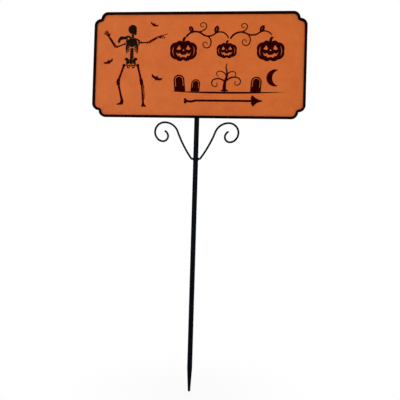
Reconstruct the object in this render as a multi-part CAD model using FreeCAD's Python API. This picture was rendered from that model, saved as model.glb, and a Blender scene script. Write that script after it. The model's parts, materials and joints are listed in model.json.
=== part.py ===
import FreeCAD, Part
import math
import os

# Halloween garden sign on a stake. Millimetres. +Z is up and the sign's front faces -Y.
# The origin is on the axis of the tube, at the level of the ground that the stake is pushed into.

V = FreeCAD.Vector
UP = V(0, 0, 1)
FORWARD = V(0, -1, 0)
BACKWARD = V(0, 1, 0)

# ---- Panel and rim ----
PANEL_WIDTH = 508.0
PANEL_HEIGHT = 254.0
SHEET_THICKNESS = 1.0
SHEET_SETBACK = 0.6          # edge of the sheet behind the outer edge of the rim
SHOULDER_RADIUS = 16.5       # two quarter rounds meet in each corner notch
NOTCH_ROOT_RADIUS = 1.5
RIM_WIDTH = 6.0
RIM_DEPTH = 5.0
RIM_EDGE_RADIUS = 2.0

# ---- Tube, stake and the pin that joins them ----
TUBE_DIAMETER = 12.0
TUBE_WALL = 1.0
TUBE_BELOW_PANEL = 104.0
TUBE_END_DROP = 14.0         # upper end of the tube below the top of the panel
STAKE_LENGTH = 540.0
GROUND_DEPTH = 200.0
TIP_LENGTH = 55.0
TIP_DIAMETER = 6.0
SPIGOT_LENGTH = 60.0
SPIGOT_CLEARANCE = 0.05      # radial, running fit
SPIGOT_CHAMFER = 1.5
COLLAR_HEIGHT = 2.4
COLLAR_CHAMFER = 0.6

# ---- Plug in the upper end of the tube ----
CAP_SHANK_LENGTH = 12.0
CAP_SHANK_CLEARANCE = 0.1
CAP_LEAD_IN = 0.6
CAP_RIM_HEIGHT = 0.8
CAP_DOME_HEIGHT = 1.6

# ---- Scrolls ----
SCROLL_ROD_DIAMETER = 4.8
SCROLL_FOOT_DROP = 96.0      # foot of the scroll below the bottom of the panel
SCROLL_FOOT_LENGTH = 1.9     # straight stub through the weld, before the first bend
SCROLL_RADIUS = 23.0         # bend round the outside of the scroll
SCROLL_BENDS = (             # radius in shares of SCROLL_RADIUS, turn in degrees, left positive
    (0.174, 54.5),
    (12.35, 14.5),
    (1.478, -69.0),
    (1.000, -90.0),
    (1.043, -50.0),
    (0.761, -40.0),
    (0.522, -90.0),
    (0.609, -60.0),
)
WELD_SIZE = 1.8

# ---- Saddle clips and their fixings on the back of the sheet ----
TUBE_SEAT_GAP = 0.2          # between the tube and what it lies against
CLIP_THICKNESS = 1.5
CLIP_WIDTH = 16.0
CLIP_BEND_RADIUS = 1.5
CLIP_CORNER_RADIUS = 4.0
CLIP_EAR_MARGIN = 1.5        # ear beyond the edge of the washer
CLIP_FROM_EDGE = 42.0        # middle of a clip from the edge of the panel
STUD_DIAMETER = 4.0
STUD_LENGTH = 8.5
STUD_HOLE_CLEARANCE = 0.5    # radial, stud in the ear of the clip
STUD_CHAMFER = 0.6
WASHER_DIAMETER = 9.0
WASHER_THICKNESS = 0.8
WASHER_CLEARANCE = 0.15
NUT_ACROSS_FLATS = 7.0
NUT_HEIGHT = 3.2
NUT_CLEARANCE = 0.05

# ---- Raised enamel ----
ENAMEL_THICKNESS = 0.5
ENAMEL_RECESS = 0.3          # eye sockets and teeth of the skull
ART_PANEL = (508.0, 254.0)   # width and height of the panel that the artwork is drawn for
BONE_GAP = 0.3               # hairline between neighbouring bones

# ---- Worked out from the sizes above ----
TUBE_RADIUS = TUBE_DIAMETER / 2
BORE_RADIUS = TUBE_RADIUS - TUBE_WALL
SHEET_BACK = -(TUBE_RADIUS + TUBE_SEAT_GAP)
SHEET_FRONT = SHEET_BACK - SHEET_THICKNESS
STAKE_TOP = STAKE_LENGTH - GROUND_DEPTH
TUBE_BOTTOM = STAKE_TOP + COLLAR_HEIGHT
PANEL_BOTTOM = TUBE_BOTTOM + TUBE_BELOW_PANEL
PANEL_TOP = PANEL_BOTTOM + PANEL_HEIGHT
PANEL_MIDDLE = (PANEL_BOTTOM + PANEL_TOP) / 2
TUBE_TOP = PANEL_TOP - TUBE_END_DROP
SCROLL_FOOT = PANEL_BOTTOM - SCROLL_FOOT_DROP
CLIP_INNER_RADIUS = TUBE_RADIUS + TUBE_SEAT_GAP
CLIP_OUTER_RADIUS = CLIP_INNER_RADIUS + CLIP_THICKNESS
STUD_OFFSET = CLIP_OUTER_RADIUS + CLIP_BEND_RADIUS + WASHER_DIAMETER / 2
CLIP_HALF_LENGTH = STUD_OFFSET + WASHER_DIAMETER / 2 + CLIP_EAR_MARGIN
CLIP_LEVELS = (PANEL_BOTTOM + CLIP_FROM_EDGE, PANEL_TOP - CLIP_FROM_EDGE)
ART_SCALE = min(PANEL_WIDTH / ART_PANEL[0], PANEL_HEIGHT / ART_PANEL[1])


# ---------------------------------------------------------------- general shapes

def outline(start, *steps):
    """Closed wire in the XZ plane. A step is a point for a line, or (via, end) for an arc."""
    edges = []
    here = V(start[0], 0, start[1])
    first = here
    for step in steps:
        if isinstance(step[0], tuple):
            via = V(step[0][0], 0, step[0][1])
            end = V(step[1][0], 0, step[1][1])
            edges.append(Part.Arc(here, via, end).toShape())
        else:
            end = V(step[0], 0, step[1])
            edges.append(Part.makeLine(here, end))
        here = end
    if here.distanceToPoint(first) > 1e-6:
        edges.append(Part.makeLine(here, first))
    return Part.Wire(edges)


def flat(start, *steps):
    return Part.Face(outline(start, *steps))


def disc(x, z, radius):
    circle = Part.makeCircle(radius, V(x, 0, z), V(0, 1, 0))
    return Part.Face(Part.Wire([circle]))


def revolved(points):
    """Solid of revolution about Z. The points are (radius, z); (via, end) is an arc."""
    return flat(*points).revolve(V(0, 0, 0), UP, 360)


def group(shapes):
    return Part.makeCompound(shapes)


def mirrored(shape):
    return shape.mirror(V(0, 0, 0), V(1, 0, 0))


def bend_stations(start, heading, bends):
    """Follow bends of (radius, turn in degrees) from a point in the XZ plane.

    Each station is (point, course in radians, distance run): the start, then the middle and
    the end of every bend. Left turns are positive.
    """
    here = start
    course = math.radians(heading)
    run = 0.0
    stations = [(here, course, run)]
    for radius, degrees in bends:
        turn = math.radians(degrees)
        reach = math.copysign(radius, turn)
        centre = (here[0] - math.sin(course) * reach, here[1] + math.cos(course) * reach)
        for share in (0.5, 1.0):
            angle = course + turn * share
            point = (centre[0] + math.sin(angle) * reach, centre[1] - math.cos(angle) * reach)
            stations.append((point, angle, run + radius * abs(turn) * share))
        here, course, run = stations[-1]
    return stations


# ---------------------------------------------------------------- panel and rim

def notched_outline(inset):
    """Outline of the panel, every point the same inset from the outer edge."""
    half_width = PANEL_WIDTH / 2
    half_height = PANEL_HEIGHT / 2
    shoulder = SHOULDER_RADIUS - inset
    root = NOTCH_ROOT_RADIUS + inset
    reach = 2 * SHOULDER_RADIUS
    spread = SHOULDER_RADIUS + NOTCH_ROOT_RADIUS
    # Centre of the notch root, the same distance in from both sides of the corner.
    middle = 1.5 * SHOULDER_RADIUS
    root_centre = middle - math.sqrt(spread ** 2 / 2 - (SHOULDER_RADIUS / 2) ** 2)
    diagonal = math.sqrt(0.5)

    def towards(start, end, distance):
        span = math.hypot(end[0] - start[0], end[1] - start[1])
        share = distance / span
        return (start[0] + (end[0] - start[0]) * share, start[1] + (end[1] - start[1]) * share)

    def corner(a, b):
        """Points of one corner, where a and b are distances in from its two sides."""
        return (half_width - a, half_height - b)

    top_centre = (reach, SHOULDER_RADIUS)
    side_centre = (SHOULDER_RADIUS, reach)
    root_point = (root_centre, root_centre)
    top_joint = towards(top_centre, root_point, shoulder)
    side_joint = towards(side_centre, root_point, shoulder)
    deepest = (root_centre + root * diagonal, root_centre + root * diagonal)
    top_via = (reach - shoulder * diagonal, SHOULDER_RADIUS - shoulder * diagonal)
    side_via = (SHOULDER_RADIUS - shoulder * diagonal, reach - shoulder * diagonal)
    # Down the top-right corner, from the top side to the right-hand side.
    run = [corner(reach, inset), corner(*top_via), corner(*top_joint), corner(*deepest),
           corner(*side_joint), corner(*side_via), corner(inset, reach)]
    back_run = list(reversed(run))
    points = []
    points += run
    points += [(x, -z) for x, z in back_run]
    points += [(-x, -z) for x, z in run]
    points += [(-x, z) for x, z in back_run]
    steps = []
    for first in range(0, len(points), len(run)):
        block = points[first:first + len(run)]
        if first:
            steps.append(block[0])
        steps.append((block[1], block[2]))
        steps.append((block[3], block[4]))
        steps.append((block[5], block[6]))
    wire = outline(points[0], *steps)
    wire.translate(V(0, SHEET_FRONT, PANEL_MIDDLE))
    return wire


def sign_panel():
    return Part.Face(notched_outline(SHEET_SETBACK)).extrude(BACKWARD * SHEET_THICKNESS)


def panel_rim():
    """Bar bent round the panel, rounded along both front edges."""
    outer = Part.Face(notched_outline(0))
    inner = Part.Face(notched_outline(RIM_WIDTH))
    bar = outer.cut(inner).extrude(FORWARD * RIM_DEPTH)
    front = SHEET_FRONT - RIM_DEPTH
    edges = [edge for edge in bar.Edges
             if abs(edge.BoundBox.YMin - front) < 1e-6 and abs(edge.BoundBox.YMax - front) < 1e-6]
    return bar.makeFillet(RIM_EDGE_RADIUS, edges)


# ---------------------------------------------------------------- tube and stake

def upper_tube():
    tube = Part.makeCylinder(TUBE_RADIUS, TUBE_TOP - TUBE_BOTTOM, V(0, 0, TUBE_BOTTOM))
    bore = Part.makeCylinder(BORE_RADIUS, TUBE_TOP - TUBE_BOTTOM, V(0, 0, TUBE_BOTTOM))
    return tube.cut(bore)


def tube_cap():
    """Domed plug whose shank fills the bore of the tube."""
    shank = BORE_RADIUS - CAP_SHANK_CLEARANCE
    low = TUBE_TOP - CAP_SHANK_LENGTH
    rim_top = TUBE_TOP + CAP_RIM_HEIGHT
    crown = rim_top + CAP_DOME_HEIGHT
    ball = (TUBE_RADIUS ** 2 + CAP_DOME_HEIGHT ** 2) / (2 * CAP_DOME_HEIGHT)
    half_angle = math.asin(TUBE_RADIUS / ball) / 2
    dome_via = (ball * math.sin(half_angle), crown - ball * (1 - math.cos(half_angle)))
    return revolved((
        (0, low),
        (shank - CAP_LEAD_IN, low),
        (shank, low + 2 * CAP_LEAD_IN),
        (shank, TUBE_TOP),
        (TUBE_RADIUS, TUBE_TOP),
        (TUBE_RADIUS, rim_top),
        (dome_via, (0, crown)),
    ))


def stake_coupler():
    """Turned pin: a spigot up, a spigot down and a collar that both tubes stand against."""
    spigot = BORE_RADIUS - SPIGOT_CLEARANCE
    low = STAKE_TOP - SPIGOT_LENGTH
    high = TUBE_BOTTOM + SPIGOT_LENGTH
    return revolved((
        (0, low),
        (spigot - SPIGOT_CHAMFER, low),
        (spigot, low + 2 * SPIGOT_CHAMFER),
        (spigot, STAKE_TOP),
        (TUBE_RADIUS - COLLAR_CHAMFER, STAKE_TOP),
        (TUBE_RADIUS, STAKE_TOP + COLLAR_CHAMFER),
        (TUBE_RADIUS, TUBE_BOTTOM - COLLAR_CHAMFER),
        (TUBE_RADIUS - COLLAR_CHAMFER, TUBE_BOTTOM),
        (spigot, TUBE_BOTTOM),
        (spigot, high - 2 * SPIGOT_CHAMFER),
        (spigot - SPIGOT_CHAMFER, high),
        (0, high),
    ))


def ground_stake():
    """Tube drawn down to a closed, rounded point."""
    tip = -GROUND_DEPTH
    tip_radius = TIP_DIAMETER / 2
    taper = tip + TIP_LENGTH
    point = tip + tip_radius
    low_round = tip_radius * (1 - math.sqrt(0.5))
    bore_end = taper - TIP_LENGTH * 0.5
    return revolved((
        (0, tip),
        ((tip_radius - low_round, tip + low_round), (tip_radius, point)),
        (TUBE_RADIUS, taper),
        (TUBE_RADIUS, STAKE_TOP),
        (BORE_RADIUS, STAKE_TOP),
        (BORE_RADIUS, taper),
        (0, bore_end),
    ))


# ---------------------------------------------------------------- scrolls

def scroll_path(start_x):
    """Centre line of the right-hand scroll: a stub from the tube, then bend after bend."""
    bend_start = (TUBE_RADIUS + SCROLL_FOOT_LENGTH, SCROLL_FOOT)
    bends = [(share * SCROLL_RADIUS, turn) for share, turn in SCROLL_BENDS]
    points = [V(point[0], 0, point[1]) for point, course, run in bend_stations(bend_start, 0, bends)]
    edges = [Part.makeLine(V(start_x, 0, SCROLL_FOOT), points[0])]
    for first in range(0, len(points) - 1, 2):
        edges.append(Part.Arc(points[first], points[first + 1], points[first + 2]).toShape())
    return Part.Wire(edges), points[-1]


def scroll():
    """Right-hand scroll, its foot cut to the round of the tube and its free end rounded."""
    rod_radius = SCROLL_ROD_DIAMETER / 2
    inside_tube = TUBE_RADIUS - rod_radius
    path, end = scroll_path(inside_tube)
    section = Part.Wire([Part.makeCircle(rod_radius, V(inside_tube, 0, SCROLL_FOOT), V(1, 0, 0))])
    rod = path.makePipeShell([section], True, False)
    tip = Part.makeSphere(rod_radius, end)
    tube = Part.makeCylinder(TUBE_RADIUS, 4 * SCROLL_ROD_DIAMETER,
                             V(0, 0, SCROLL_FOOT - 2 * SCROLL_ROD_DIAMETER))
    return rod.fuse(tip).cut(tube)


def scroll_weld():
    """Fillet of weld round the foot of the right-hand scroll, cut to the round of the tube."""
    rod_radius = SCROLL_ROD_DIAMETER / 2
    inside_tube = TUBE_RADIUS - rod_radius
    outer = rod_radius + WELD_SIZE
    reach = TUBE_RADIUS + WELD_SIZE
    bead = revolved((
        (rod_radius, inside_tube),
        (outer, inside_tube),
        (outer, TUBE_RADIUS),
        (rod_radius, reach),
    ))
    bead.rotate(V(0, 0, 0), V(0, 1, 0), 90)
    bead.translate(V(0, 0, SCROLL_FOOT))
    tube = Part.makeCylinder(TUBE_RADIUS, 4 * outer, V(0, 0, SCROLL_FOOT - 2 * outer))
    return bead.cut(tube)


# ---------------------------------------------------------------- clips and fixings

def saddle_clip(level):
    """Strap over the tube with an ear on each side."""
    low = SHEET_BACK
    ear = low + CLIP_THICKNESS
    bend = ear + CLIP_BEND_RADIUS
    inner = CLIP_INNER_RADIUS
    outer = CLIP_OUTER_RADIUS
    turn = CLIP_BEND_RADIUS * (1 - math.sqrt(0.5))
    # Drawn in XZ with Z standing for depth, then laid down so that depth runs along Y.
    strap = flat(
        (-CLIP_HALF_LENGTH, low),
        (-inner, low),
        (-inner, 0),
        ((0, inner), (inner, 0)),
        (inner, low),
        (CLIP_HALF_LENGTH, low),
        (CLIP_HALF_LENGTH, ear),
        (outer + CLIP_BEND_RADIUS, ear),
        ((outer + turn, ear + turn), (outer, bend)),
        (outer, 0),
        ((0, outer), (-outer, 0)),
        (-outer, bend),
        ((-outer - turn, ear + turn), (-outer - CLIP_BEND_RADIUS, ear)),
        (-CLIP_HALF_LENGTH, ear),
    )
    strap.rotate(V(0, 0, 0), V(1, 0, 0), -90)
    strap.translate(V(0, 0, level - CLIP_WIDTH / 2))
    clip = strap.extrude(UP * CLIP_WIDTH)
    corners = [edge for edge in clip.Edges
               if abs(abs(edge.CenterOfMass.x) - CLIP_HALF_LENGTH) < 1e-6
               and edge.BoundBox.ZLength < 1e-6 and edge.BoundBox.XLength < 1e-6]
    clip = clip.makeFillet(CLIP_CORNER_RADIUS, corners)
    hole_radius = STUD_DIAMETER / 2 + STUD_HOLE_CLEARANCE
    for side in (-1, 1):
        hole = Part.makeCylinder(hole_radius, CLIP_THICKNESS,
                                 V(side * STUD_OFFSET, low, level), BACKWARD)
        clip = clip.cut(hole)
    return clip


def at_each_stud(piece):
    """Copies of a fixing, drawn with its axis on Z, on the studs with the axis along +Y."""
    copies = []
    for level in CLIP_LEVELS:
        for side in (-1, 1):
            copy = piece.copy()
            copy.rotate(V(0, 0, 0), V(1, 0, 0), -90)
            copy.translate(V(side * STUD_OFFSET, SHEET_BACK, level))
            copies.append(copy)
    return group(copies)


def clip_stud():
    radius = STUD_DIAMETER / 2
    return revolved((
        (0, 0),
        (radius, 0),
        (radius, STUD_LENGTH - STUD_CHAMFER),
        (radius - STUD_CHAMFER, STUD_LENGTH),
        (0, STUD_LENGTH),
    ))


def clip_washer():
    low = V(0, 0, CLIP_THICKNESS)
    disc_part = Part.makeCylinder(WASHER_DIAMETER / 2, WASHER_THICKNESS, low)
    hole = Part.makeCylinder(STUD_DIAMETER / 2 + WASHER_CLEARANCE, WASHER_THICKNESS, low)
    return disc_part.cut(hole)


def clip_nut():
    """Hexagon nut, chamfered where the corners meet both faces."""
    low = CLIP_THICKNESS + WASHER_THICKNESS
    high = low + NUT_HEIGHT
    corner = NUT_ACROSS_FLATS / math.sqrt(3)
    points = []
    for side in range(6):
        angle = math.radians(60 * side)
        points.append(V(corner * math.cos(angle), corner * math.sin(angle), low))
    hexagon = Part.Face(Part.makePolygon(points + points[:1])).extrude(UP * NUT_HEIGHT)
    flat_radius = NUT_ACROSS_FLATS / 2
    chamfer = (corner - flat_radius) * 0.6
    turned = revolved((
        (0, low),
        (flat_radius, low),
        (corner + chamfer, low + chamfer),
        (corner + chamfer, high - chamfer),
        (flat_radius, high),
        (0, high),
    ))
    bore = Part.makeCylinder(STUD_DIAMETER / 2 + NUT_CLEARANCE, NUT_HEIGHT, V(0, 0, low))
    return hexagon.common(turned).cut(bore)


# ---------------------------------------------------------------- raised enamel

def raised(faces, depth=ENAMEL_THICKNESS):
    """Stand flat artwork, drawn round the middle of the panel, out of the front of the sheet."""
    solids = []
    for face in faces:
        face = face.scaled(ART_SCALE, V(0, 0, 0))
        face.translate(V(0, SHEET_FRONT, PANEL_MIDDLE))
        solids.append(face.extrude(FORWARD * depth))
    return group(solids)


def joined(faces):
    """Overlapping artwork as one outline, found by raising it and taking the back faces."""
    solids = [face.extrude(FORWARD) for face in faces]
    merged = solids[0].fuse(solids[1:]).removeSplitter()
    return [face for face in merged.Faces if face.BoundBox.YMin > -1e-6]


def between(a, b, share):
    return (a[0] + (b[0] - a[0]) * share, a[1] + (b[1] - a[1]) * share)


def side_frame(a, b):
    """Length from a to b and a function that gives the point s along and t to its left."""
    length = math.hypot(b[0] - a[0], b[1] - a[1])
    along = ((b[0] - a[0]) / length, (b[1] - a[1]) / length)

    def point(s, t):
        return (a[0] + along[0] * s - along[1] * t, a[1] + along[1] * s + along[0] * t)

    return length, point


def long_bone(a, b, shaft, head_a, head_b):
    """Bone between two joints: a waisted shaft with a two-lobed head at each end."""
    full, point = side_frame(a, b)
    start = BONE_GAP / 2
    end = full - BONE_GAP / 2
    waist = shaft * 0.42
    neck = shaft / 2

    def lobes(tip, inward, head):
        """Points of one end: neck, widest point of the lobe, and cleft between the lobes."""
        return tip + inward * head * 0.85, tip + inward * head * 0.36, tip + inward * head * 0.06

    neck_a, wide_a, cleft_a = lobes(start, 1, head_a)
    neck_b, wide_b, cleft_b = lobes(end, -1, head_b)
    middle = (neck_a + neck_b) / 2
    return flat(
        point(neck_a, neck),
        (point(middle, waist), point(neck_b, neck)),
        (point(wide_b, head_b / 2), point(cleft_b, 0)),
        (point(wide_b, -head_b / 2), point(neck_b, -neck)),
        (point(middle, -waist), point(neck_a, -neck)),
        (point(wide_a, -head_a / 2), point(cleft_a, 0)),
        (point(wide_a, head_a / 2), point(neck_a, neck)),
    )


def rod_bone(a, b, width):
    """Small bone with round ends, such as one of a finger."""
    full, point = side_frame(a, b)
    half = width / 2
    start = half + BONE_GAP / 2
    end = full - half - BONE_GAP / 2
    return flat(
        point(start, half),
        point(end, half),
        (point(end + half, 0), point(end, -half)),
        point(start, -half),
        (point(start - half, 0), point(start, half)),
    )


def band(a, via, b, width_a, width_b):
    """Curved strip along the arc a, via, b, with round ends and a width that may change."""
    arc = Part.Arc(V(a[0], 0, a[1]), V(via[0], 0, via[1]), V(b[0], 0, b[1]))
    circle = arc.toShape().Curve
    centre = circle.Center
    radius = circle.Radius

    def radial(p, offset):
        share = (radius + offset) / radius
        return (centre.x + (p[0] - centre.x) * share, centre.z + (p[1] - centre.z) * share)

    def beyond(p, other, distance):
        """Point past the end p, square to the radius and away from the other point."""
        radial_x = (p[0] - centre.x) / radius
        radial_z = (p[1] - centre.z) / radius
        side = (p[0] - other[0]) * -radial_z + (p[1] - other[1]) * radial_x
        sign = math.copysign(1, side)
        return (p[0] - radial_z * distance * sign, p[1] + radial_x * distance * sign)

    width_via = (width_a + width_b) / 2
    return flat(
        radial(a, width_a / 2),
        (radial(via, width_via / 2), radial(b, width_b / 2)),
        (beyond(b, via, width_b / 2), radial(b, -width_b / 2)),
        (radial(via, -width_via / 2), radial(a, -width_a / 2)),
        (beyond(a, via, width_a / 2), radial(a, width_a / 2)),
    )


# ---- The skeleton, drawn in its own frame with the origin in the middle of the pelvis ----

FIGURE_X = -160.5
FIGURE_Z = 6.0
SHOULDER_LEFT = (-15.6, 45.4)
SHOULDER_RIGHT = (18.8, 47.6)
ELBOW_LEFT = (-39.9, 36.2)
ELBOW_RIGHT = (39.4, 47.8)
WRIST_LEFT = (-56.4, 60.2)
WRIST_RIGHT = (61.0, 60.2)
HIP_LEFT = (-17.6, -3.8)
HIP_RIGHT = (13.9, -3.8)
KNEE_LEFT = (-32.4, -47.4)
KNEE_RIGHT = (25.3, -47.8)
ANKLE_LEFT = (-21.5, -91.5)
ANKLE_RIGHT = (29.9, -92.4)
PELVIS_X = -2.1
HIP_SOCKET_OFFSET = 8.35      # from the middle of the pelvis, out to the end of the thigh's neck
HIP_SOCKET_LEVEL = -6.2
SEAT_RING_OFFSET = 5.8
SEAT_RING_LEVEL = -10.3
SEAT_RING_RADIUS = 4.0
SEAT_HOLE_RADIUS = 1.8
SPINE_X = -0.5
NECK_X = 1.0


def figure(faces, recesses=()):
    """Raise part of the skeleton at its place on the panel."""
    placed = [face.translated(V(FIGURE_X, 0, FIGURE_Z)) for face in faces]
    solid = raised(placed)
    if recesses:
        hollows = raised([face.translated(V(FIGURE_X, 0, FIGURE_Z)) for face in recesses])
        hollows.translate(FORWARD * (ENAMEL_THICKNESS - ENAMEL_RECESS))
        solid = solid.cut(hollows)
    return solid


def figure_skull():
    """Skull and jaw turned a little to the right, with hollowed sockets and teeth."""
    head = flat(
        (-7.0, 71.2),
        ((-10.5, 81.2), (-0.6, 90.4)),
        ((7.4, 87.4), (10.0, 79.4)),
        (9.1, 77.2),
        (10.6, 74.2),
        (9.4, 73.2),
        (9.8, 68.0),
        ((8.6, 66.1), (5.8, 66.4)),
        (3.0, 69.4),
        ((-2.2, 68.6), (-7.0, 71.2)),
    )
    socket = disc(4.8, 78.4, 2.3)
    far_socket = flat((8.0, 80.2), ((9.3, 78.6), (8.4, 76.8)), ((7.6, 78.4), (8.0, 80.2)))
    nose = flat((7.8, 76.0), (9.1, 73.9), (7.3, 73.7))
    cheek = flat((0.8, 76.4), ((2.2, 74.0), (5.0, 73.4)), ((1.8, 73.2), (0.8, 76.4)))
    first_tooth, tooth_pitch, tooth_width = 5.0, 1.15, 0.7
    tooth_top, tooth_foot = 72.6, 69.6
    teeth = []
    for step in range(4):
        x = first_tooth + tooth_pitch * step
        teeth.append(flat((x, tooth_top), (x + tooth_width, tooth_top),
                          (x + tooth_width, tooth_foot), (x, tooth_foot)))
    return figure([head], [socket, far_socket, nose, cheek] + teeth)


def vertebra(x, z, width, height):
    """One bone of the spine, drawn in at the sides, with a stub of process on each side."""
    half = width / 2
    top = z + height / 2
    low = z - height / 2
    stub = height * 0.18
    return flat(
        (x - half * 0.90, top),
        (x + half * 0.90, top),
        (x + half * 0.80, z + stub),
        ((x + half * 1.15, z), (x + half * 0.80, z - stub)),
        (x + half * 0.90, low),
        (x - half * 0.90, low),
        (x - half * 0.80, z - stub),
        ((x - half * 1.15, z), (x - half * 0.80, z + stub)),
    )


def figure_spine():
    """Neck above the breastbone and the back below it."""
    neck_width, neck_height, neck_low, neck_count = 6.0, 2.8, 60.6, 3
    back_width, back_height, back_low, back_count = 8.4, 3.4, 10.5, 7
    bones = []
    for step in range(neck_count):
        level = neck_low + step * (neck_height + BONE_GAP)
        bones.append(vertebra(NECK_X, level, neck_width, neck_height))
    for step in range(back_count):
        level = back_low + step * (back_height + BONE_GAP)
        bones.append(vertebra(SPINE_X, level, back_width, back_height))
    return figure(bones)


def figure_ribcage():
    """Breastbone, eight pairs of ribs, collar bones and shoulder blades."""
    pairs = 8
    pairs_on_breastbone = 5
    pitch = 3.95
    top_rib = 55.2
    cage_half_width = 14.6
    widest_pair = 4.5
    cage_span = 6.3
    droop = 6.2
    top_width = 4.6
    narrowing = 0.35            # each rib is this much narrower than the one above
    root_on_breastbone = 4.4
    free_root = 6.9
    bones = [flat(
        (SPINE_X - 4.6, 58.9),
        ((SPINE_X, 58.3), (SPINE_X + 4.6, 58.9)),
        (SPINE_X + 4.2, 53.6),
        (SPINE_X + 3.6, 40.4),
        ((SPINE_X, 36.0), (SPINE_X - 3.6, 40.4)),
        (SPINE_X - 4.2, 53.6),
    )]
    for pair in range(pairs):
        level = top_rib - pair * pitch
        half = cage_half_width * math.sqrt(1 - ((pair - widest_pair) / cage_span) ** 2)
        width = top_width - narrowing * pair
        root = root_on_breastbone if pair < pairs_on_breastbone else free_root
        for side in (-1, 1):
            start = (SPINE_X + side * root, level)
            via = (SPINE_X + side * half * 0.78, level - droop * 0.28)
            end = (SPINE_X + side * half, level - droop)
            bones.append(band(start, via, end, width, width * 0.75))
    # Collar bones, and the top of the raised shoulder.
    bones.append(band((-4.6, 59.4), (-9.8, 62.2), (-14.4, 61.2), 4.4, 4.8))
    bones.append(band((-14.2, 59.0), (-13.2, 54.0), (-14.8, 49.0), 3.8, 3.2))
    bones.append(band((5.0, 57.0), (9.4, 56.2), (13.2, 53.6), 3.2, 3.6))
    # Shoulder blades: the left one is lifted.
    bones.append(flat(
        (-15.8, 63.4),
        ((-19.2, 62.2), (-22.6, 62.2)),
        ((-28.6, 62.4), (-32.6, 57.6)),
        ((-35.2, 53.6), (-35.4, 50.0)),
        ((-33.2, 46.8), (-30.2, 48.6)),
        ((-27.8, 53.4), (-22.6, 55.2)),
        (-15.8, 55.6),
    ))
    bones.append(flat(
        (12.6, 54.6),
        ((16.2, 54.8), (18.6, 52.6)),
        (18.4, 44.8),
        ((16.4, 41.4), (14.8, 39.6)),
        ((14.6, 46.6), (12.6, 54.6)),
    ))
    return figure(joined(bones))


def half_pelvis(side):
    """Hip blade and the ring of the seat bone on one side, drawn outwards from the middle."""

    def out(u, z):
        return (PELVIS_X + side * u, z)

    blade = flat(
        out(14.6, 9.4),
        (out(11.0, 11.0), out(6.6, 8.4)),
        out(4.1, 6.4),
        out(3.8, -1.4),
        (out(6.4, -4.0), out(10.2, -4.4)),
        (out(12.0, -2.8), out(11.0, 0.4)),
        (out(12.2, 3.6), out(14.8, 5.6)),
        (out(15.6, 7.6), out(14.6, 9.4)),
    )
    ring_x, ring_z = out(SEAT_RING_OFFSET, SEAT_RING_LEVEL)
    hole = disc(ring_x - side * 0.3, ring_z + 0.3, SEAT_HOLE_RADIUS)
    ring = disc(ring_x, ring_z, SEAT_RING_RADIUS).cut(hole)
    return [blade] + ring.Faces


def figure_pelvis():
    """Base of the spine between the hip blades, and the bridge that joins the two rings."""
    base = flat(
        (PELVIS_X - 3.7, 8.3),
        (PELVIS_X + 3.7, 8.3),
        (PELVIS_X + 3.4, 0.6),
        ((PELVIS_X, -4.6), (PELVIS_X - 3.4, 0.6)),
    )
    bridge = flat(
        (PELVIS_X - SEAT_RING_OFFSET, -5.7),
        (PELVIS_X + SEAT_RING_OFFSET, -5.7),
        (PELVIS_X + 4.0, -8.1),
        (PELVIS_X - 4.0, -8.1),
    )
    return figure(joined([base, bridge] + half_pelvis(-1) + half_pelvis(1)))


def forearm(elbow, wrist, spread, width):
    """Two slender bones side by side."""
    full, point = side_frame(elbow, wrist)
    narrow = spread * 0.62
    upper = rod_bone(point(0, spread), point(full, narrow), width)
    lower = rod_bone(point(0, -spread), point(full, -narrow), width)
    return [upper, lower]


def figure_left_arm():
    """Raised arm with the fingers spread."""
    wrist_bone = 2.5
    palm = (-57.9, 62.6)
    knuckles = ((-64.1, 66.4), (-63.1, 68.6), (-61.4, 69.9), (-59.4, 69.8))
    tips = ((-70.2, 70.8), (-69.1, 74.6), (-66.4, 76.8), (-62.2, 77.2))
    bones = [long_bone(SHOULDER_LEFT, ELBOW_LEFT, 3.4, 4.8, 5.4)]
    bones += forearm(ELBOW_LEFT, WRIST_LEFT, 1.7, 2.7)
    bones.append(disc(palm[0], palm[1], wrist_bone))
    for knuckle, tip in zip(knuckles, tips):
        reach = math.hypot(knuckle[0] - palm[0], knuckle[1] - palm[1])
        root = between(palm, knuckle, wrist_bone / reach)
        bones.append(rod_bone(root, knuckle, 2.1))
        bones.append(rod_bone(knuckle, tip, 1.9))
    bones.append(rod_bone((-56.5, 63.8), (-55.8, 70.8), 2.1))
    return figure(joined(bones))


def figure_right_arm():
    """Stretched arm: the forefinger points and the other fingers are curled."""
    wrist_bone = 2.3
    palm = (63.5, 61.7)
    bones = [long_bone(SHOULDER_RIGHT, ELBOW_RIGHT, 3.2, 4.8, 4.8)]
    bones += forearm(ELBOW_RIGHT, WRIST_RIGHT, 1.7, 2.4)
    bones.append(disc(palm[0], palm[1], wrist_bone))
    bones.append(rod_bone((65.5, 62.8), (72.4, 64.8), 2.0))
    bones.append(rod_bone((72.4, 64.8), (78.4, 66.6), 1.8))
    bones.append(rod_bone((78.4, 66.6), (85.6, 68.6), 1.5))
    bones.append(rod_bone((65.5, 60.6), (73.2, 62.2), 1.9))
    bones.append(band((74.2, 62.2), (77.0, 60.7), (78.0, 57.2), 2.0, 1.7))
    bones.append(rod_bone((64.9, 58.7), (70.6, 59.5), 1.8))
    bones.append(rod_bone((71.0, 59.5), (74.2, 56.9), 1.7))
    return figure(joined(bones))


def thigh(hip, knee, side):
    """Thigh bone and kneecap, with a neck that reaches from the hip towards its socket."""
    socket = (PELVIS_X + side * HIP_SOCKET_OFFSET, HIP_SOCKET_LEVEL)
    neck_root = (hip[0] - (knee[0] - hip[0]) * 0.04, hip[1] - 3.0)
    kneecap = disc(knee[0], knee[1], 4.2)
    return [long_bone(hip, knee, 5.4, 6.8, 8.0), rod_bone(neck_root, socket, 2.8), kneecap]


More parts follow.
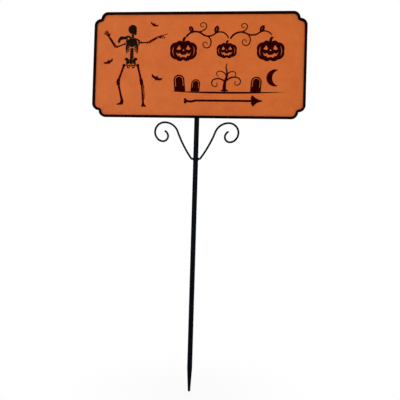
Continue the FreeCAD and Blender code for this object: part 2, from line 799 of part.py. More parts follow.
def figure_left_leg():
    """Bent leg with the foot seen from the side."""
    foot = flat(
        (-24.4, -90.2),
        (-19.4, -89.0),
        ((-17.2, -95.0), (-18.7, -100.7)),
        ((-19.3, -101.9), (-20.9, -102.1)),
        (-32.9, -102.9),
        ((-34.3, -101.5), (-32.9, -100.1)),
        ((-27.3, -97.2), (-24.4, -90.2)),
    )
    bones = thigh(HIP_LEFT, KNEE_LEFT, -1)
    bones.append(long_bone(KNEE_LEFT, ANKLE_LEFT, 5.4, 8.8, 6.2))
    bones.append(foot)
    return figure(joined(bones))


def figure_right_leg():
    """Straight leg with the foot seen from the front, shin bone and calf bone apart."""
    foot = flat(
        (27.6, -90.4),
        (32.4, -90.4),
        ((33.8, -99.8), (37.4, -104.6)),
        ((38.0, -106.2), (36.4, -106.8)),
        (27.0, -106.8),
        ((25.8, -105.8), (26.4, -104.2)),
        ((27.8, -99.0), (27.6, -90.4)),
    )
    bones = thigh(HIP_RIGHT, KNEE_RIGHT, 1)
    bones.append(long_bone(KNEE_RIGHT, ANKLE_RIGHT, 4.5, 8.2, 5.4))
    bones.append(band((30.4, -55.6), (31.8, -70.4), (32.9, -86.4), 2.2, 2.0))
    bones.append(foot)
    return figure(joined(bones))


# ---- Bats, arrow and ornament, drawn round the middle of the panel ----

BATS = {                      # x, z, span, tilt in degrees
    "bat_top": (-108.0, 97.1, 19.8, -25.0),
    "bat_left": (-217.6, 7.4, 24.4, 23.0),
    "bat_right": (-98.9, -31.1, 27.8, -22.0),
}


def small_bat(x, z, span, tilt):
    """Flying bat: two raised wings with scalloped trailing edges, a head with ears."""
    half = span / 2
    angle = math.radians(tilt)

    def at(u, w):
        du = u * half
        dw = w * half
        return (x + du * math.cos(angle) - dw * math.sin(angle),
                z + du * math.sin(angle) + dw * math.cos(angle))

    return raised([flat(
        at(0.0, 0.22),
        at(0.10, 0.38),
        at(0.19, 0.12),
        (at(0.56, 0.15), at(1.0, 0.36)),
        (at(0.93, 0.03), at(0.80, -0.20)),
        (at(0.64, -0.19), at(0.50, -0.37)),
        (at(0.32, -0.29), at(0.16, -0.40)),
        at(0.0, -0.52),
        at(-0.16, -0.40),
        (at(-0.32, -0.29), at(-0.50, -0.37)),
        (at(-0.64, -0.19), at(-0.80, -0.20)),
        (at(-0.93, 0.03), at(-1.0, 0.36)),
        (at(-0.56, 0.15), at(-0.19, 0.12)),
        at(-0.10, 0.38),
    )])


def bone_arrow():
    """Arrow with a barbed head on a shaft that ends in the knuckles of a bone."""
    level = -84.8
    half = 2.35
    shaft_start = -2.0          # the straight part, past the knuckles and the bend
    head_start = 127.4
    shaft = flat(
        (shaft_start, level + half),
        (head_start, level + half),
        (head_start, level - half),
        (shaft_start, level - half),
        ((-6.0, level - half - 0.9), (-10.0, level - half - 2.2)),
        ((-18.0, level - half - 2.6), (-25.4, level - half - 1.6)),
        ((-27.2, level - half - 5.0), (-30.2, level - half - 4.2)),
        ((-31.8, level - half - 1.6), (-29.4, level + 0.2)),
        ((-31.8, level + 3.2), (-29.4, level + 4.8)),
        ((-26.6, level + 4.6), (-25.2, level + half - 0.8)),
        ((-18.0, level + half - 2.0), (-10.0, level + half - 1.4)),
        ((-6.0, level + half - 0.3), (shaft_start, level + half)),
    )
    head = flat(
        (head_start, level + half),
        ((127.0, level + 8.0), (130.4, level + 13.8)),
        ((138.4, level + 6.6), (151.6, level + 1.6)),
        ((153.0, level), (151.6, level - 1.6)),
        ((140.0, level - 5.7), (132.8, level - 13.8)),
        ((128.2, level - 8.0), (head_start, level - half)),
    )
    return raised([shaft.fuse(head).removeSplitter().Faces[0]])


def curl(start, heading, bends, width_start, width_end):
    """Curved strip that follows its bends and narrows evenly, with round ends."""
    stations = bend_stations(start, heading, bends)
    total = stations[-1][2]
    left = []
    right = []
    for point, course, run in stations:
        half = (width_start + (width_end - width_start) * run / total) / 2
        across = (-math.sin(course) * half, math.cos(course) * half)
        left.append((point[0] + across[0], point[1] + across[1]))
        right.append((point[0] - across[0], point[1] - across[1]))
    last, last_course, _ = stations[-1]
    first_course = stations[0][1]
    tip = (last[0] + math.cos(last_course) * width_end / 2,
           last[1] + math.sin(last_course) * width_end / 2)
    tail = (start[0] - math.cos(first_course) * width_start / 2,
            start[1] - math.sin(first_course) * width_start / 2)
    steps = []
    for index in range(1, len(left), 2):
        steps.append((left[index], left[index + 1]))
    steps.append((tip, right[-1]))
    for index in range(len(right) - 2, 0, -2):
        steps.append((right[index], right[index - 1]))
    steps.append((tail, left[0]))
    return flat(left[0], *steps)


def carved_pumpkin(x, z, radius):
    """Pumpkin with a stalk, and a cut-out face and ribs that show the panel behind."""

    def at(u, w):
        return (x + u * radius, z + w * radius)

    body = flat(
        at(0.12, 0.80),
        (at(0.38, 0.90), at(0.62, 0.74)),
        (at(1.02, 0.60), at(1.16, 0.0)),
        (at(1.02, -0.60), at(0.60, -0.78)),
        (at(0.32, -0.92), at(0.0, -0.80)),
        (at(-0.32, -0.92), at(-0.60, -0.78)),
        (at(-1.02, -0.60), at(-1.16, 0.0)),
        (at(-1.02, 0.60), at(-0.62, 0.74)),
        (at(-0.38, 0.90), at(-0.12, 0.80)),
        (at(-0.10, 1.04), at(0.06, 1.26)),
        at(0.26, 1.16),
        (at(0.12, 1.00), at(0.12, 0.80)),
    )
    cuts = [flat(at(-0.10, -0.02), at(0.10, -0.02), at(0.0, 0.16))]
    for side in (-1, 1):
        cuts.append(flat(at(side * 0.62, 0.16), (at(side * 0.42, 0.08), at(side * 0.22, 0.16)),
                         at(side * 0.38, 0.50)))
        cuts.append(flat(at(side * 0.80, 0.46), (at(side * 0.99, 0.0), at(side * 0.80, -0.50)),
                         (at(side * 0.92, 0.0), at(side * 0.80, 0.46))))
    half_mouth = ((0.70, -0.12), (0.46, -0.30), (0.34, -0.18), (0.16, -0.36))
    lower_lip = ((0.50, -0.48), (0.36, -0.44), (0.24, -0.62), (0.08, -0.54))
    mouth = [at(-u, w) for u, w in half_mouth]
    mouth += [at(u, w) for u, w in reversed(half_mouth)]
    mouth += [at(u, w) for u, w in lower_lip]
    mouth += [at(-u, w) for u, w in reversed(lower_lip)]
    cuts.append(flat(*mouth))
    return body.cut(cuts).Faces


PUMPKINS = (                  # x, z, radius
    (-36.0, 34.0, 27.0),
    (67.0, 34.6, 20.0),
    (170.0, 34.0, 27.0),
)


def pumpkins():
    faces = []
    for x, z, radius in PUMPKINS:
        faces += carved_pumpkin(x, z, radius)
    return raised(faces)


def leaf(x, z, length, angle):
    """Pointed leaf with a slit for its middle vein."""
    turn = math.radians(angle)

    def at(u, w):
        return (x + length * (u * math.cos(turn) - w * math.sin(turn)),
                z + length * (u * math.sin(turn) + w * math.cos(turn)))

    blade = flat(at(0.0, 0.0), (at(0.42, 0.30), at(1.0, 0.0)), (at(0.42, -0.30), at(0.0, 0.0)))
    vein = flat(at(0.22, 0.02), (at(0.50, 0.06), at(0.80, 0.0)), (at(0.50, 0.0), at(0.22, 0.02)))
    return blade.cut(vein).Faces[0]


def pumpkin_vine():
    """Two runs of vine between the pumpkins, with curled tendrils and leaves."""
    first = [
        curl((-29.0, 69.0), 56, ((25.0, -96.0), (23.0, 80.0), (20.5, -110.0)), 4.4, 2.8),
        curl((-4.0, 79.6), -8, ((22.0, 58.0), (8.5, 150.0), (5.0, 190.0)), 3.0, 1.5),
        curl((21.0, 68.6), -30, ((17.0, -92.0), (9.0, -150.0), (5.0, -180.0)), 3.2, 1.5),
        leaf(40.0, 75.6, 19.0, 78),
        leaf(-14.6, 78.0, 17.0, 118),
    ]
    second = [
        curl((76.0, 64.0), 62, ((27.0, -92.0), (26.0, 68.0), (20.0, -92.0)), 4.2, 2.8),
        curl((98.0, 78.3), 4, ((20.0, 52.0), (7.5, 160.0), (4.6, 190.0)), 2.8, 1.4),
        curl((113.0, 75.0), -30, ((18.0, -86.0), (9.0, -150.0), (5.0, -180.0)), 3.0, 1.5),
        leaf(145.0, 78.6, 18.0, 62),
    ]
    return raised(joined(first) + joined(second))


HILL_TOP = -63.5


GRAVESTONES = (               # x, width, height, lean in degrees
    (-42.0, 26.0, 40.0, -6.0),
    (-6.0, 21.0, 29.0, 5.0),
    (137.0, 25.0, 36.0, 4.0),
)


def gravestone(x, width, height, lean):
    """Round-topped slab that leans, cut off level with the ground, with a slot inside its edge."""
    turn = math.radians(lean)
    ground = HILL_TOP + BONE_GAP
    sunk = -width * abs(math.sin(turn))

    def at(u, w):
        du = u * width / 2
        return (x + du * math.cos(turn) + w * math.sin(turn),
                ground + w * math.cos(turn) - du * math.sin(turn))

    shoulder = height - width / 2
    slot_foot = height * 0.30
    slab = flat(
        at(-1.0, sunk),
        at(-1.0, shoulder),
        (at(0.0, height), at(1.0, shoulder)),
        at(1.0, sunk),
    )
    slot = flat(
        at(-0.76, slot_foot),
        at(-0.76, shoulder),
        (at(0.0, shoulder + width * 0.38), at(0.76, shoulder)),
        at(0.76, slot_foot),
        at(0.64, slot_foot),
        at(0.64, shoulder),
        (at(0.0, shoulder + width * 0.32), at(-0.64, shoulder)),
        at(-0.64, slot_foot),
    )
    below = flat((x - width, ground), (x + width, ground),
                 (x + width, ground - width), (x - width, ground - width))
    return slab.cut([slot, below]).Faces


def gravestones():
    faces = []
    for x, width, height, lean in GRAVESTONES:
        faces += gravestone(x, width, height, lean)
    return raised(faces)


def bare_tree():
    """Leafless tree whose branches end in curls."""
    base = HILL_TOP + BONE_GAP + 4.0
    limbs = [
        curl((64.0, base), 96, ((60.0, -26.0), (34.0, 40.0), (12.0, -60.0)), 8.4, 1.8),
        curl((68.0, base + 22.0), 50, ((24.0, -74.0), (9.0, -150.0), (5.0, -150.0)), 3.8, 1.5),
        curl((66.0, base + 18.0), 128, ((23.0, 76.0), (9.0, 150.0), (5.0, 150.0)), 3.8, 1.5),
        curl((68.4, base + 34.0), 70, ((15.0, -78.0), (6.5, -170.0)), 2.8, 1.3),
        curl((67.4, base + 34.0), 110, ((16.0, 80.0), (6.0, 170.0)), 2.8, 1.3),
        curl((60.0, base - 1.2), 192, ((18.0, -16.0),), 4.6, 1.4),
        curl((68.0, base - 1.2), -12, ((18.0, 16.0),), 4.6, 1.4),
    ]
    return raised(joined(limbs))


def hill_line():
    """Ground under the gravestones and the tree, thinning out to both ends."""
    thickness = 4.4
    return raised([flat(
        (-62.0, HILL_TOP),
        (204.0, HILL_TOP),
        ((71.0, HILL_TOP - thickness), (-62.0, HILL_TOP)),
    )])


def crescent_moon():
    x, z, radius = 182.0, -30.0, 20.0
    upper_horn = (x + radius * 0.36, z + radius * 0.93)
    lower_horn = (x + radius * 0.36, z - radius * 0.93)
    return raised([flat(
        upper_horn,
        ((x - radius, z), lower_horn),
        ((x - radius * 0.34, z), upper_horn),
    )])


NODES = {
    "sign_panel": sign_panel,
    "panel_rim": panel_rim,
    "upper_tube": upper_tube,
    "tube_cap": tube_cap,
    "stake_coupler": stake_coupler,
    "ground_stake": ground_stake,
    "scroll_left": lambda: mirrored(scroll()),
    "scroll_right": scroll,
    "scroll_welds": lambda: group([scroll_weld(), mirrored(scroll_weld())]),
    "lower_clip": lambda: saddle_clip(CLIP_LEVELS[0]),
    "upper_clip": lambda: saddle_clip(CLIP_LEVELS[1]),
    "clip_studs": lambda: at_each_stud(clip_stud()),
    "clip_washers": lambda: at_each_stud(clip_washer()),
    "clip_nuts": lambda: at_each_stud(clip_nut()),
    "figure_skull": figure_skull,
    "figure_spine": figure_spine,
    "figure_ribcage": figure_ribcage,
    "figure_pelvis": figure_pelvis,
    "figure_left_arm": figure_left_arm,
    "figure_right_arm": figure_right_arm,
    "figure_left_leg": figure_left_leg,
    "figure_right_leg": figure_right_leg,
    "bat_top": lambda: small_bat(*BATS["bat_top"]),
    "bat_left": lambda: small_bat(*BATS["bat_left"]),
    "bat_right": lambda: small_bat(*BATS["bat_right"]),
    "bone_arrow": bone_arrow,
    "pumpkins": pumpkins,
    "pumpkin_vine": pumpkin_vine,
    "gravestones": gravestones,
    "bare_tree": bare_tree,
    "hill_line": hill_line,
    "crescent_moon": crescent_moon,
}


def main():
    os.makedirs("parts", exist_ok=True)
    for name, build in NODES.items():
        shape = build()
        shape.exportStep(os.path.join("parts", name + ".step"))


main()
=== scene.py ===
import json
import math

import bmesh
import bpy
from mathutils import Matrix, Vector


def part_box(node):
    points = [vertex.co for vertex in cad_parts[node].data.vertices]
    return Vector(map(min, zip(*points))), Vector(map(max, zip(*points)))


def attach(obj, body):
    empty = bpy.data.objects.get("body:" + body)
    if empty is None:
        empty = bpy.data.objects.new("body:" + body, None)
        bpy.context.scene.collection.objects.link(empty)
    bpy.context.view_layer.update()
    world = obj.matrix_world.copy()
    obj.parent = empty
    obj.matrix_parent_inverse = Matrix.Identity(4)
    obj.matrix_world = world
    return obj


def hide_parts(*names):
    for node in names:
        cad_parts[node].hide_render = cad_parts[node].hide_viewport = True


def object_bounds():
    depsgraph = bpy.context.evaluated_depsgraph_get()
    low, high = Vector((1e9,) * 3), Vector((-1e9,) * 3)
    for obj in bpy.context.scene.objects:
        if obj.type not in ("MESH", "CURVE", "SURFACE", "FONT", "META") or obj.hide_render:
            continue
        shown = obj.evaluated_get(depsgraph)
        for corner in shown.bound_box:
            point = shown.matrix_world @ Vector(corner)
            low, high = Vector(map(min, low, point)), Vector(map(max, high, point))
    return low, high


# Looks of a halloween yard sign: enamelled sheet steel on a powder-coated tube stake.
# Metres, in the frame of the CAD model. The front of the sign faces -Y.

MM = 0.001

# ---- Colours as they are seen, red green blue from 0 to 255: dark tone, light tone ----
ORANGE_DEEP = (194, 94, 40)
ORANGE = (199, 99, 42)
ORANGE_LIGHT = (204, 103, 47)
PRINT_TONES = ((34, 0, 0), (53, 3, 0))                # arrow and ornament
BODY_TONES = ((21, 14, 8), (32, 17, 10))              # skull, spine, ribcage and pelvis
LIMB_TONES = ((42, 0, 0), (60, 2, 0))                 # arms, legs and bats
COAT_TONES = ((0, 3, 9), (4, 8, 14))                  # tubes, scrolls and welds
RIM_TONES = ((11, 3, 2), (26, 7, 4))
BACK_TONES = ((28, 28, 30), (37, 37, 40))             # back of the sheet, and clips
ZINC_TONES = ((138, 140, 143), (176, 177, 178))
PLASTIC_TONES = ((17, 17, 18), (4, 8, 14))

# ---- Refractive index: the gloss grows with it ----
COAT_INDEX = 1.10                  # low, so that a rod stays dark up to its edge
RIM_INDEX = 1.05
BACK_INDEX = 1.22
ORANGE_INDEX = 1.20
PRINT_INDEX = 1.04
PLASTIC_INDEX = 1.30

# ---- Roughness: lowest, highest ----
COAT_ROUGHNESS = (0.34, 0.48)
ORANGE_ROUGHNESS = (0.42, 0.55)
PRINT_ROUGHNESS = (0.40, 0.52)
ZINC_ROUGHNESS = (0.26, 0.42)
PLASTIC_ROUGHNESS = (0.55, 0.68)

# ---- Grain: size of the clouds of tone, of the changes of gloss and of the skin, and depth of the skin ----
COAT_CLOUD = 60.0 * MM
COAT_SHEEN = 12.0 * MM
COAT_SKIN = (1.1 * MM, 4.2 * MM)
COAT_DEPTH = 0.05 * MM
COAT_RELIEF = 0.3                  # share of the depth that is used
BACK_RELIEF = 0.6
ORANGE_CLOUD = (35.0 * MM, 8.0 * MM)
ORANGE_SPECK = 1.6 * MM
ORANGE_SHEEN = 20.0 * MM
ORANGE_SKIN = (2.2 * MM, 0.7 * MM)
ORANGE_DEPTH = 0.05 * MM
PRINT_CLOUD = 10.0 * MM
PRINT_SHEEN = 6.0 * MM
PRINT_SKIN = 0.9 * MM
PRINT_DEPTH = 0.04 * MM
ZINC_CLOUD = 4.0 * MM
ZINC_SHEEN = 2.0 * MM
ZINC_RINGS = 0.5 * MM
ZINC_DEPTH = 0.02 * MM
PLASTIC_CLOUD = 3.0 * MM
PLASTIC_SHEEN = 2.0 * MM
PLASTIC_SKIN = 0.6 * MM
PLASTIC_DEPTH = 0.03 * MM

SPECK_TINT = (0.90, 0.88, 0.86, 1.0)
SPECK_SHARE = 0.55
FRONT_LIMIT = -0.5                 # Y of the normal below which a face is the front of the sheet

# ---- Fixings and welds ----
STUD_RADIUS = 2.0 * MM
STUD_CORNERS = 24
THREAD_PITCH = 0.7 * MM
THREAD_DEPTH = 0.38 * MM
RINGS_PER_PITCH = 8
WELD_SIZE = 1.8 * MM
WELD_CORNERS = 64
WELD_RIPPLES = 13
WELD_VALLEY = 0.80                 # share of the weld's size that is left between ripples
WELD_RIPPLE = 0.19                 # share that a ripple adds
WELD_CROWN = ((0.0, 0.0), (0.22, 0.34), (0.5, 0.5), (0.78, 0.66), (1.0, 1.0))    # in from the toe, up
WELD_SLOPE = 0.72                  # share of the rise that is kept at the toe
WELD_RISE = 0.98
WELD_THROAT = 0.6                  # the face against the rod, as shares of rod radius and weld size
WELD_FOOT = 0.8                    # how far out the foot inside the tube's wall reaches
WELD_BITE = 0.4 * MM               # depth of that foot

# ---- Stage ----
WHITE = (1.0, 1.0, 1.0, 1.0)
SKY_TINT = (1.0, 0.985, 0.97, 1.0)
SKY_STRENGTH = 0.52
FLOOR_WHITE = 0.86
FLOOR_HALF = 30.0
FLOOR_DROP = 0.2 * MM
FLOOR_REACH = 4.0                  # distance from the stake over which the floor turns plain white
FLOOR_GLOW = ((0.0, 0.86), (0.07, 0.985), (0.3, 1.0))    # share of that distance, share of white
LAMPS = (                          # name, place from the panel's middle, size, power
    ("key", (-1.2, -2.4, 0.5), (1.4, 1.4), 27.5),
    ("fill", (1.6, -2.0, -0.3), (1.2, 1.6), 12.7),
    ("back", (0.6, 2.2, 1.2), (1.4, 1.4), 26.0),
)

# ---- Camera ----
CAMERA_PLACE = (0.1234, -1.1996, 0.2306)
CAMERA_YAW = -5.25
CAMERA_PITCH = 1.06
CAMERA_ROLL = 1.65
CAMERA_LENS = 45.63
CAMERA_SENSOR = 36.0


def linear(colour):
    """Linear red, green, blue, alpha of a colour given from 0 to 255."""
    def channel(value):
        share = value / 255
        return share / 12.92 if share <= 0.04045 else ((share + 0.055) / 1.055) ** 2.4
    return tuple(channel(value) for value in colour) + (1.0,)


def grey(value):
    """The same linear value in each channel."""
    return (value, value, value, 1.0)


def add_object(name, data):
    thing = bpy.data.objects.new(name, data)
    bpy.context.scene.collection.objects.link(thing)
    return thing


# ---------------------------------------------------------------- node trees

class Tree:
    """Short calls for building the nodes of one material or of the world."""

    def __init__(self, owner, output="ShaderNodeOutputMaterial"):
        owner.use_nodes = True
        self.owner = owner
        self.nodes = owner.node_tree.nodes
        self.links = owner.node_tree.links
        self.nodes.clear()
        self.output = self.add(output)
        self.source = None

    def add(self, kind, **settings):
        node = self.nodes.new(kind)
        for key, value in settings.items():
            setattr(node, key, value)
        return node

    def link(self, source, target):
        self.links.new(source, target)

    def coordinates(self, kind="Object"):
        """Texture coordinates of the kind, all from one node."""
        if not self.source:
            self.source = self.add("ShaderNodeTexCoord")
        return self.source.outputs[kind]

    def stretched(self, scale):
        """Object coordinates multiplied along each axis."""
        mapping = self.add("ShaderNodeMapping")
        mapping.inputs["Scale"].default_value = scale
        self.link(self.coordinates(), mapping.inputs["Vector"])
        return mapping.outputs["Vector"]

    def noise(self, size, detail=3.0, roughness=0.5, vector=None):
        """Noise whose blotches are about size metres across."""
        node = self.add("ShaderNodeTexNoise")
        node.inputs["Scale"].default_value = 1.0 / size
        node.inputs["Detail"].default_value = detail
        node.inputs["Roughness"].default_value = roughness
        self.link(vector or self.coordinates(), node.inputs["Vector"])
        return node.outputs["Fac"]

    def cells(self, size):
        """Distance to the middle of round cells about size metres across."""
        node = self.add("ShaderNodeTexVoronoi")
        node.inputs["Scale"].default_value = 1.0 / size
        self.link(self.coordinates(), node.inputs["Vector"])
        return node.outputs["Distance"]

    def ramp(self, factor, *stops):
        """Colour ramp. A stop is (position, linear colour)."""
        node = self.add("ShaderNodeValToRGB")
        elements = node.color_ramp.elements
        while len(elements) < len(stops):
            elements.new(0.5)
        for element, (position, colour) in zip(elements, stops):
            element.position = position
            element.color = colour
        self.link(factor, node.inputs["Fac"])
        return node.outputs["Color"]

    def span(self, factor, ends, reach=(0.3, 0.7)):
        """Factor within its reach turned into a number between two ends."""
        node = self.add("ShaderNodeMapRange")
        node.inputs["From Min"].default_value, node.inputs["From Max"].default_value = reach
        node.inputs["To Min"].default_value, node.inputs["To Max"].default_value = ends
        self.link(factor, node.inputs["Value"])
        return node.outputs["Result"]

    def calculate(self, operation, *values):
        """Math node on sockets and plain numbers."""
        node = self.add("ShaderNodeMath", operation=operation)
        for socket, value in zip(node.inputs, values):
            if isinstance(value, float):
                socket.default_value = value
            else:
                self.link(value, socket)
        return node.outputs[0]

    def sum(self, first, second, share):
        """The first plus a share of the second."""
        return self.calculate("MULTIPLY_ADD", second, share, first)

    def multiplied(self, colour, tint, share):
        """Colour multiplied by a tint, at a share of full strength."""
        node = self.add("ShaderNodeMix", data_type="RGBA", blend_type="MULTIPLY")
        factor, first, second = node.inputs[0], node.inputs[6], node.inputs[7]
        factor.default_value = share
        self.link(colour, first)
        self.link(tint, second)
        return node.outputs[2]

    def bump(self, height, depth, strength=0.5):
        node = self.add("ShaderNodeBump")
        node.inputs["Strength"].default_value = strength
        node.inputs["Distance"].default_value = depth
        self.link(height, node.inputs["Height"])
        return node.outputs["Normal"]

    def surface(self, colour, roughness, normal, index=1.45, metallic=0.0):
        """Plain or metal surface."""
        node = self.add("ShaderNodeBsdfPrincipled")
        node.inputs["Metallic"].default_value = metallic
        node.inputs["IOR"].default_value = index
        self.link(colour, node.inputs["Base Color"])
        self.link(roughness, node.inputs["Roughness"])
        self.link(normal, node.inputs["Normal"])
        return node

    def either(self, factor, first, second):
        """Shader that is the first where the factor is 0 and the second where it is 1."""
        node = self.add("ShaderNodeMixShader")
        self.link(factor, node.inputs[0])
        self.link(first.outputs[0], node.inputs[1])
        self.link(second.outputs[0], node.inputs[2])
        return node

    def finish(self, shader):
        self.link(shader.outputs[0], self.output.inputs["Surface"])
        return self.owner


def material_tree(name):
    return Tree(bpy.data.materials.new(name))


# ---------------------------------------------------------------- materials

def coat_shader(tree, tones, index, relief):
    """Satin powder coat: a fine leathery skin with slow changes of tone and gloss."""
    dark, light = tones
    colour = tree.ramp(tree.noise(COAT_CLOUD, detail=4.0),
                       (0.35, linear(dark)), (0.70, linear(light)))
    roughness = tree.span(tree.noise(COAT_SHEEN), COAT_ROUGHNESS)
    fine, coarse = (tree.noise(size, detail=2.0) for size in COAT_SKIN)
    skin = tree.bump(tree.sum(fine, coarse, 0.8), COAT_DEPTH, relief)
    return tree.surface(colour, roughness, skin, index)


def powder_coat(name, tones, index, relief=COAT_RELIEF):
    tree = material_tree(name)
    return tree.finish(coat_shader(tree, tones, index, relief))


def orange_enamel():
    """Orange on the front of the sheet, with black coat on its back and edges."""
    tree = material_tree("mottled_orange_enamel")
    cloud = tree.sum(tree.noise(ORANGE_CLOUD[0], detail=5.0, roughness=0.6),
                     tree.noise(ORANGE_CLOUD[1]), 0.35)
    shades = tree.ramp(cloud, (0.50, linear(ORANGE_DEEP)), (0.68, linear(ORANGE)),
                       (0.88, linear(ORANGE_LIGHT)))
    speck = tree.ramp(tree.noise(ORANGE_SPECK, detail=1.0), (0.30, SPECK_TINT), (0.48, WHITE))
    coarse, fine = (tree.noise(size, detail=1.0) for size in ORANGE_SKIN)
    front = tree.surface(tree.multiplied(shades, speck, SPECK_SHARE),
                         tree.span(tree.noise(ORANGE_SHEEN), ORANGE_ROUGHNESS),
                         tree.bump(tree.sum(coarse, fine, 0.25), ORANGE_DEPTH), ORANGE_INDEX)
    back = coat_shader(tree, BACK_TONES, BACK_INDEX, BACK_RELIEF)
    facing = tree.add("ShaderNodeSeparateXYZ")
    tree.link(tree.coordinates("Normal"), facing.inputs[0])
    behind = tree.calculate("GREATER_THAN", facing.outputs["Y"], FRONT_LIMIT)
    return tree.finish(tree.either(behind, front, back))


def print_enamel(name, tones):
    """Dark enamel of the artwork, a little thinner and redder in places."""
    tree = material_tree(name)
    dark, light = tones
    colour = tree.ramp(tree.noise(PRINT_CLOUD, detail=4.0),
                       (0.38, linear(dark)), (0.72, linear(light)))
    roughness = tree.span(tree.noise(PRINT_SHEEN), PRINT_ROUGHNESS)
    skin = tree.bump(tree.noise(PRINT_SKIN, detail=2.0), PRINT_DEPTH)
    return tree.finish(tree.surface(colour, roughness, skin, PRINT_INDEX))


def zinc_plate():
    """Zinc on turned steel: fine rings of the tool under a cloudy plating."""
    tree = material_tree("zinc_plated_steel")
    dark, light = ZINC_TONES
    colour = tree.ramp(tree.noise(ZINC_CLOUD, detail=4.0),
                       (0.35, linear(dark)), (0.70, linear(light)))
    roughness = tree.span(tree.noise(ZINC_SHEEN), ZINC_ROUGHNESS)
    rings = tree.noise(ZINC_RINGS, detail=1.0, vector=tree.stretched((0.15, 0.15, 1.0)))
    return tree.finish(tree.surface(colour, roughness, tree.bump(rings, ZINC_DEPTH), metallic=1.0))


def moulded_plastic():
    tree = material_tree("matt_black_plastic")
    dark, light = PLASTIC_TONES
    colour = tree.ramp(tree.noise(PLASTIC_CLOUD), (0.3, linear(dark)), (0.7, linear(light)))
    roughness = tree.span(tree.noise(PLASTIC_SHEEN), PLASTIC_ROUGHNESS)
    skin = tree.bump(tree.cells(PLASTIC_SKIN), PLASTIC_DEPTH)
    return tree.finish(tree.surface(colour, roughness, skin, PLASTIC_INDEX))


# ---------------------------------------------------------------- pieces

def mesh_data(name, mesh):
    data = bpy.data.meshes.new(name)
    mesh.to_mesh(data)
    mesh.free()
    return data


def new_piece(name, mesh, material, body, node):
    """Piece from a closed bmesh, on its body and in the place of a CAD node."""
    bmesh.ops.recalc_face_normals(mesh, faces=mesh.faces)
    piece = add_object(name, mesh_data(name, mesh))
    piece.data.materials.append(material)
    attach(piece, body)
    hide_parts(node)
    return piece


def lofted(mesh, rings, closed=False):
    """Skin between rings of points, with a face over each end unless the rings close."""
    rows = [[mesh.verts.new(point) for point in ring] for ring in rings]
    count = len(rows[0])
    pairs = list(zip(rows, rows[1:]))
    if closed:
        pairs.append((rows[-1], rows[0]))
    for low, high in pairs:
        for index in range(count):
            after = (index + 1) % count
            mesh.faces.new((low[index], low[after], high[after], high[index]))
    if not closed:
        mesh.faces.new(list(reversed(rows[0])))
        mesh.faces.new(rows[-1])


def threaded_stud(mesh, x, z, start, end):
    """Stud along +Y whose thread is a true helix, chamfered at its free end."""
    steps = round((end - start) / (THREAD_PITCH / RINGS_PER_PITCH))
    rings = []
    for index in range(steps + 1):
        y = start + (end - start) * index / steps
        to_end = end - y
        ring = []
        for corner in range(STUD_CORNERS):
            turn = corner / STUD_CORNERS
            phase = ((y - start) / THREAD_PITCH - turn) % 1.0
            flank = abs(2 * phase - 1)
            radius = min(STUD_RADIUS - THREAD_DEPTH * flank, STUD_RADIUS - THREAD_DEPTH + to_end)
            angle = 2 * math.pi * turn
            ring.append((x + radius * math.sin(angle), y, z + radius * math.cos(angle)))
        rings.append(ring)
    lofted(mesh, rings)


def studs(material):
    low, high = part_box("clip_studs")
    mesh = bmesh.new()
    for x in (low.x + STUD_RADIUS, high.x - STUD_RADIUS):
        for z in (low.z + STUD_RADIUS, high.z - STUD_RADIUS):
            threaded_stud(mesh, x, z, low.y, high.y)
    return new_piece("threaded_studs", mesh, material, "sign", "clip_studs")


def weld_bead(mesh, side, level, rod_radius, tube_radius):
    """Rippled bead round the foot of one scroll, hollowed from the rod out to the tube."""
    def tube_x(y):
        return math.sqrt(tube_radius ** 2 - y ** 2)

    rings = []
    for index in range(WELD_CORNERS):
        angle = 2 * math.pi * index / WELD_CORNERS
        ripple = 0.5 + 0.5 * math.cos(WELD_RIPPLES * angle)
        size = WELD_SIZE * (WELD_VALLEY + WELD_RIPPLE * ripple)
        across, up = math.sin(angle), math.cos(angle)
        profile = []                    # distance from the rod's axis, x
        for inward, height in WELD_CROWN:
            reach = rod_radius + size * (1 - inward)
            rise = size * height * (WELD_SLOPE + (1 - WELD_SLOPE) * inward)
            x = tube_x(reach * across) + rise * WELD_RISE
            profile.append((reach, min(x, tube_radius + WELD_SIZE)))
        throat = rod_radius * WELD_THROAT
        profile.append((throat, tube_radius + size * WELD_THROAT))
        profile.append((throat, tube_radius - WELD_BITE))
        foot = rod_radius + size * WELD_FOOT
        profile.append((foot, tube_x(foot * across) - WELD_BITE))
        rings.append([(side * x, reach * across, level + reach * up) for reach, x in profile])
    lofted(mesh, rings, closed=True)


def welds(material):
    low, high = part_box("scroll_welds")
    rod_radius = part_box("scroll_right")[1].y
    tube_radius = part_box("upper_tube")[1].y
    mesh = bmesh.new()
    for side in (-1, 1):
        weld_bead(mesh, side, (low.z + high.z) / 2, rod_radius, tube_radius)
    piece = new_piece("weld_beads", mesh, material, "sign", "scroll_welds")
    piece.data.shade_smooth()
    return piece


# ---------------------------------------------------------------- stage

def white_world():
    """White where the camera, gloss or glass looks, and a softer even light on everything else."""
    world = bpy.data.worlds.new("studio")
    bpy.context.scene.world = world
    tree = Tree(world, "ShaderNodeOutputWorld")
    seen = tree.add("ShaderNodeBackground")
    seen.inputs["Color"].default_value = WHITE
    light = tree.add("ShaderNodeBackground")
    light.inputs["Color"].default_value = SKY_TINT
    light.inputs["Strength"].default_value = SKY_STRENGTH
    path = tree.add("ShaderNodeLightPath").outputs
    glass = tree.calculate("MAXIMUM", path["Is Glossy Ray"], path["Is Transmission Ray"])
    looking = tree.calculate("MAXIMUM", path["Is Camera Ray"], glass)
    tree.finish(tree.either(looking, light, seen))


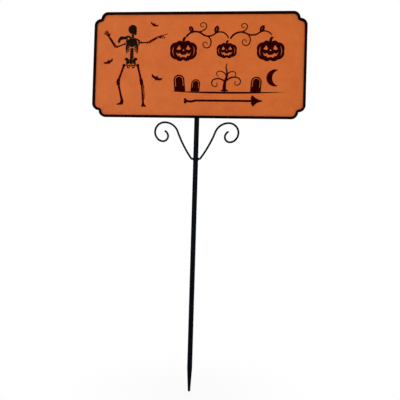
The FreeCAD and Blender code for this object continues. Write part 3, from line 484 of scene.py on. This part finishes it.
def pale_floor(level):
    """Floor that the camera sees as white, apart from part of the shadow on it."""
    mesh = bmesh.new()
    bmesh.ops.create_grid(mesh, x_segments=1, y_segments=1, size=FLOOR_HALF)
    floor = add_object("floor", mesh_data("floor", mesh))
    floor.location.z = level
    tree = material_tree("pale_floor")
    paint = tree.add("ShaderNodeBsdfDiffuse")
    paint.inputs["Color"].default_value = grey(FLOOR_WHITE)
    glow = tree.add("ShaderNodeEmission")
    distance = tree.add("ShaderNodeVectorMath", operation="LENGTH")
    tree.link(tree.coordinates(), distance.inputs[0])
    away = tree.span(distance.outputs["Value"], (0.0, 1.0), reach=(0.0, FLOOR_REACH))
    whiter = tree.ramp(away, *((place, grey(share)) for place, share in FLOOR_GLOW))
    path = tree.add("ShaderNodeLightPath").outputs
    share = tree.calculate("MULTIPLY", path["Is Camera Ray"], whiter)
    floor.data.materials.append(tree.finish(tree.either(share, paint, glow)))


def soft_light(name, place, target, size, power):
    data = bpy.data.lights.new(name, "AREA")
    data.shape = "RECTANGLE"
    data.size, data.size_y = size
    data.energy = power
    lamp = add_object(name, data)
    lamp.location = place
    lamp.rotation_euler = (target - place).to_track_quat("-Z", "Y").to_euler()


def camera():
    yaw, pitch, roll = (math.radians(angle) for angle in (CAMERA_YAW, CAMERA_PITCH, CAMERA_ROLL))
    turn = Matrix.Rotation(-yaw, 4, "Z") @ Matrix.Rotation(math.pi / 2 + pitch, 4, "X")
    data = bpy.data.cameras.new("camera")
    data.sensor_width = CAMERA_SENSOR
    data.lens = CAMERA_LENS
    eye = add_object("camera", data)
    eye.matrix_world = Matrix.Translation(CAMERA_PLACE) @ turn @ Matrix.Rotation(roll, 4, "Z")
    bpy.context.scene.camera = eye


# ---------------------------------------------------------------- scene

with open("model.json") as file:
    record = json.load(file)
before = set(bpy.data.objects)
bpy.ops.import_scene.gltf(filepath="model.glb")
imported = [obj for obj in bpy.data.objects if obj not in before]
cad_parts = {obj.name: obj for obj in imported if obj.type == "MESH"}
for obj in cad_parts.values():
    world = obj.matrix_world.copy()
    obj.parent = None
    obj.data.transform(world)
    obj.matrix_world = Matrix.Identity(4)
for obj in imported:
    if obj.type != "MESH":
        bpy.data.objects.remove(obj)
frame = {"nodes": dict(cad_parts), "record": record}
cad_low, cad_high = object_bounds()

# One finish for each material slot of the record.
FINISHES = {
    "orange_enamel": orange_enamel(),
    "black_enamel": print_enamel("brown_black_enamel", PRINT_TONES),
    "black_powder_coat": powder_coat("satin_powder_coat", COAT_TONES, COAT_INDEX),
    "plated_steel": zinc_plate(),
    "black_plastic": moulded_plastic(),
}

# Nodes whose finish isn't that of their slot. The clips have the coat of the back of the sheet.
RIM_COAT = powder_coat("brown_black_coat", RIM_TONES, RIM_INDEX)
BACK_COAT = powder_coat("satin_back_coat", BACK_TONES, BACK_INDEX, BACK_RELIEF)
BODY_ENAMEL = print_enamel("neutral_black_enamel", BODY_TONES)
LIMB_ENAMEL = print_enamel("maroon_black_enamel", LIMB_TONES)
OWN_FINISHES = {
    "panel_rim": RIM_COAT,
    "lower_clip": BACK_COAT,
    "upper_clip": BACK_COAT,
    "figure_skull": BODY_ENAMEL,
    "figure_spine": BODY_ENAMEL,
    "figure_ribcage": BODY_ENAMEL,
    "figure_pelvis": BODY_ENAMEL,
    "figure_left_arm": LIMB_ENAMEL,
    "figure_right_arm": LIMB_ENAMEL,
    "figure_left_leg": LIMB_ENAMEL,
    "figure_right_leg": LIMB_ENAMEL,
    "bat_top": LIMB_ENAMEL,
    "bat_left": LIMB_ENAMEL,
    "bat_right": LIMB_ENAMEL,
}

for part in frame["record"]["subparts"]:
    name = part["node"]
    node = frame["nodes"][name]
    node.data.materials.clear()
    node.data.materials.append(OWN_FINISHES.get(name) or FINISHES[part["material_slot"]])

studs(FINISHES["plated_steel"])
welds(FINISHES["black_powder_coat"])

panel_low, panel_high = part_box("sign_panel")
panel_middle = (panel_low + panel_high) / 2
white_world()
pale_floor(cad_low.z - FLOOR_DROP)
for lamp_name, offset, size, power in LAMPS:
    soft_light(lamp_name, panel_middle + Vector(offset), panel_middle, size, power)
camera()

bpy.context.scene.view_settings.view_transform = "Standard"
